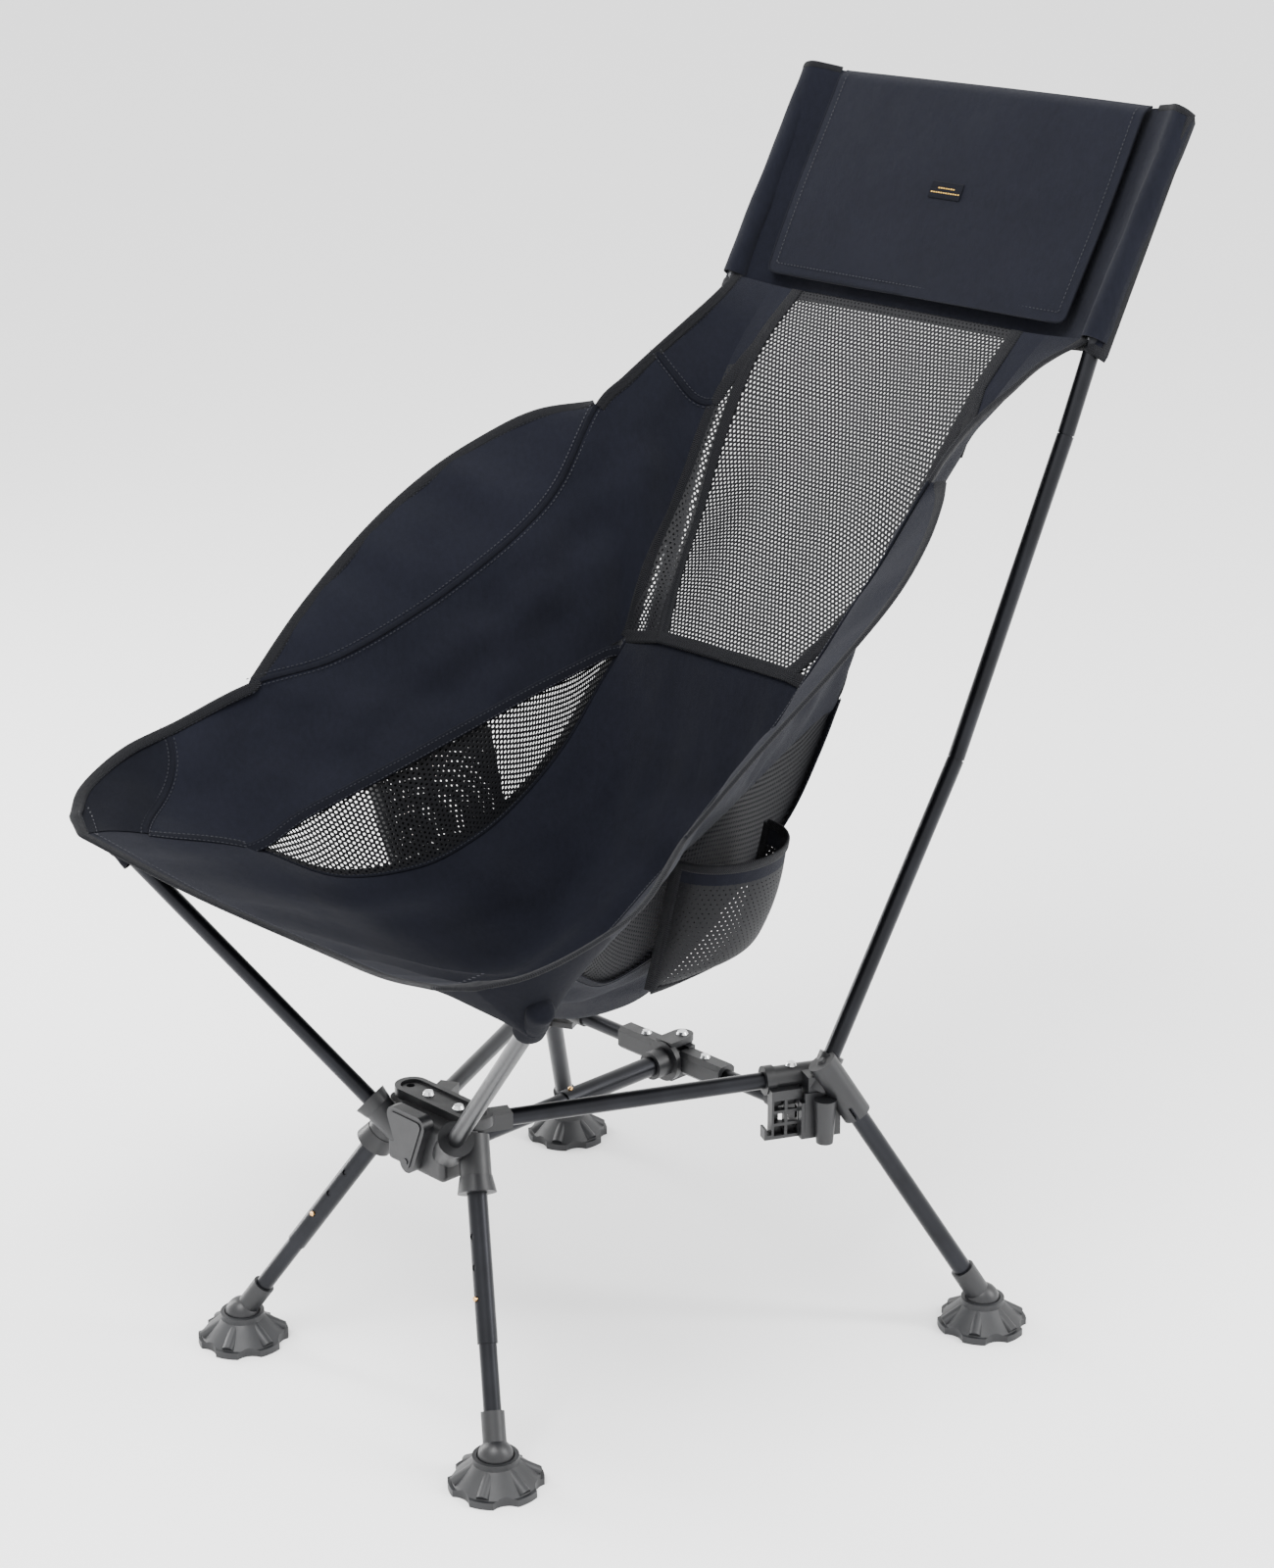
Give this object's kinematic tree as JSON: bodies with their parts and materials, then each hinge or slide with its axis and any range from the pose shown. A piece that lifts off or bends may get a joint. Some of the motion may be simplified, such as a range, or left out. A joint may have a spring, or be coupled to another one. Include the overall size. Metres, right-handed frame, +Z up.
{
  "type": "folding backpacking chair",
  "caption": "High-back folding camp chair: fabric sling with net windows on bent poles, jointed base frame, telescoping front legs and ball-jointed feet.",
  "frame": {"origin": "middle of the bounding box, on the floor under the feet", "axes": "+X to the sitter's left, +Y to the back, +Z up; the sitter faces -Y"},
  "size_m": [0.58, 0.8104, 0.971],
  "materials": {
    "fabric": "woven polyester",
    "net": "open polyester net",
    "tubes": "black anodised satin",
    "plastic": "moulded, fine texture",
    "rubber": "moulded",
    "rivets": "bright",
    "brass": "polished"
  },
  "bodies": {
    "front_frame": {"front_hub": "plastic", "hub_badge": "plastic", "hub_pins": "rivets", "upper_leg_left": "tubes", "upper_leg_right": "tubes", "seat_pole_left": "tubes", "seat_pole_right": "tubes", "spine_inner_tube": "tubes", "seat_panel": "fabric", "seat_nets": "net", "side_panels": "fabric", "back_net": "net", "back_side_panels": "fabric", "wings": "fabric", "cup_pockets": "net", "pole_pockets": "fabric", "head_panel": "fabric"},
    "head_flap": {"head_flap": "fabric"},
    "spine_slider": {"spine_outer_tube": "tubes", "mid_fitting": "plastic", "mid_pin": "rivets"},
    "spine_button": {"spine_button": "brass"},
    "side_left": {"side_strut_left": "tubes", "strut_eye_left": "plastic", "strut_rivet_left": "rivets", "rear_hub_left": "plastic", "rear_hub_plug_left": "plastic", "rear_leg_left": "tubes", "rear_leg_end_left": "plastic", "back_pole_lower_left": "tubes", "back_pole_middle_left": "tubes", "back_pole_upper_left": "tubes"},
    "crossbar_left": {"crossbar_tube_left": "tubes", "crossbar_bracket_left": "plastic", "bracket_rivet_left": "rivets", "crossbar_eye_left": "plastic"},
    "lower_leg_left": {"lower_leg_left": "tubes", "lower_leg_end_left": "plastic"},
    "leg_button_left": {"leg_button_left": "brass"},
    "front_foot_left": {"front_foot_left": "rubber"},
    "rear_foot_left": {"rear_foot_left": "rubber"},
    "side_right": {"side_strut_right": "tubes", "strut_eye_right": "plastic", "strut_rivet_right": "rivets", "rear_hub_right": "plastic", "rear_hub_plug_right": "plastic", "rear_leg_right": "tubes", "rear_leg_end_right": "plastic", "back_pole_lower_right": "tubes", "back_pole_middle_right": "tubes", "back_pole_upper_right": "tubes"},
    "crossbar_right": {"crossbar_tube_right": "tubes", "crossbar_bracket_right": "plastic", "bracket_rivet_right": "rivets", "crossbar_eye_right": "plastic"},
    "lower_leg_right": {"lower_leg_right": "tubes", "lower_leg_end_right": "plastic"},
    "leg_button_right": {"leg_button_right": "brass"},
    "front_foot_right": {"front_foot_right": "rubber"},
    "rear_foot_right": {"rear_foot_right": "rubber"}
  },
  "joints": [
    {"name": "frame_fold", "type": "hinge", "parent": "front_frame", "child": "side_left", "pos_m": [0.018, -0.227, 0.225], "axis": [0, 0, 1], "range_deg": [0, 14], "deforming": ["seat_panel", "seat_nets", "side_panels", "back_net", "back_side_panels", "wings", "cup_pockets", "pole_pockets", "head_panel", "head_flap"]},
    {"name": "crossbar_swing_left", "type": "hinge", "parent": "spine_slider", "child": "crossbar_left", "pos_m": [0, 0.0384, 0.1965], "axis": [0, 0, 1], "range_deg": [0, 59.03]},
    {"name": "leg_slide_left", "type": "slide", "parent": "front_frame", "child": "lower_leg_left", "axis": [-0.4671, 0.3375, 0.8173], "range_m": [0, 0.048], "deforming": ["leg_button_left"]},
    {"name": "leg_button_press_left", "type": "slide", "parent": "lower_leg_left", "child": "leg_button_left", "axis": [0.1675, 0.9413, -0.293], "range_m": [0, 0.0036], "stiffness_N_per_m": 800, "springref_m": -0.001},
    {"name": "front_foot_tilt_left", "type": "hinge", "parent": "lower_leg_left", "child": "front_foot_left", "pos_m": [0.1565, -0.316, 0.024], "axis": [-0.5857, -0.8105, 0], "range_deg": [-5, 35]},
    {"name": "rear_foot_tilt_left", "type": "hinge", "parent": "side_left", "child": "rear_foot_left", "pos_m": [0.253, 0.1399, 0.024], "axis": [0.7853, -0.6192, 0], "range_deg": [-5, 35]},
    {"name": "frame_fold_right", "type": "hinge", "parent": "front_frame", "child": "side_right", "pos_m": [-0.018, -0.227, 0.225], "axis": [0, 0, -1], "range_deg": [0, 14]},
    {"name": "crossbar_swing_right", "type": "hinge", "parent": "spine_slider", "child": "crossbar_right", "pos_m": [0, 0.0384, 0.1965], "axis": [0, 0, -1], "range_deg": [0, 59.03]},
    {"name": "leg_slide_right", "type": "slide", "parent": "front_frame", "child": "lower_leg_right", "axis": [0.4671, 0.3375, 0.8173], "range_m": [0, 0.048], "deforming": ["leg_button_right"]},
    {"name": "leg_button_press_right", "type": "slide", "parent": "lower_leg_right", "child": "leg_button_right", "axis": [-0.1675, 0.9413, -0.293], "range_m": [0, 0.0036], "stiffness_N_per_m": 800, "springref_m": -0.001},
    {"name": "front_foot_tilt_right", "type": "hinge", "parent": "lower_leg_right", "child": "front_foot_right", "pos_m": [-0.1565, -0.316, 0.024], "axis": [-0.5857, 0.8105, 0], "range_deg": [-5, 35]},
    {"name": "rear_foot_tilt_right", "type": "hinge", "parent": "side_right", "child": "rear_foot_right", "pos_m": [-0.253, 0.1399, 0.024], "axis": [0.7853, 0.6192, 0], "range_deg": [-5, 35]},
    {"name": "spine_slide", "type": "slide", "parent": "front_frame", "child": "spine_slider", "axis": [0, -1, 0], "range_m": [0, 0.10207]},
    {"name": "spine_button_press", "type": "slide", "parent": "front_frame", "child": "spine_button", "axis": [0, 0, -1], "range_m": [0, 0.0036], "deforming": ["spine_button"]},
    {"name": "flap_lift", "type": "hinge", "parent": "front_frame", "child": "head_flap", "pos_m": [0, 0.4024, 0.9693], "axis": [1, 0, 0], "range_deg": [-170, 0]}
  ],
  "couplings": [
    {"joint": "crossbar_swing_left", "follows": "frame_fold", "ratio": 4.2163},
    {"joint": "frame_fold_right", "follows": "frame_fold", "ratio": 1},
    {"joint": "crossbar_swing_right", "follows": "frame_fold", "ratio": 4.2163},
    {"joint": "spine_slide", "follows": "frame_fold", "m_per_rad": 0.41768},
    {"joint": "spine_button_press", "follows": "frame_fold", "m_per_rad": 0.014732}
  ]
}
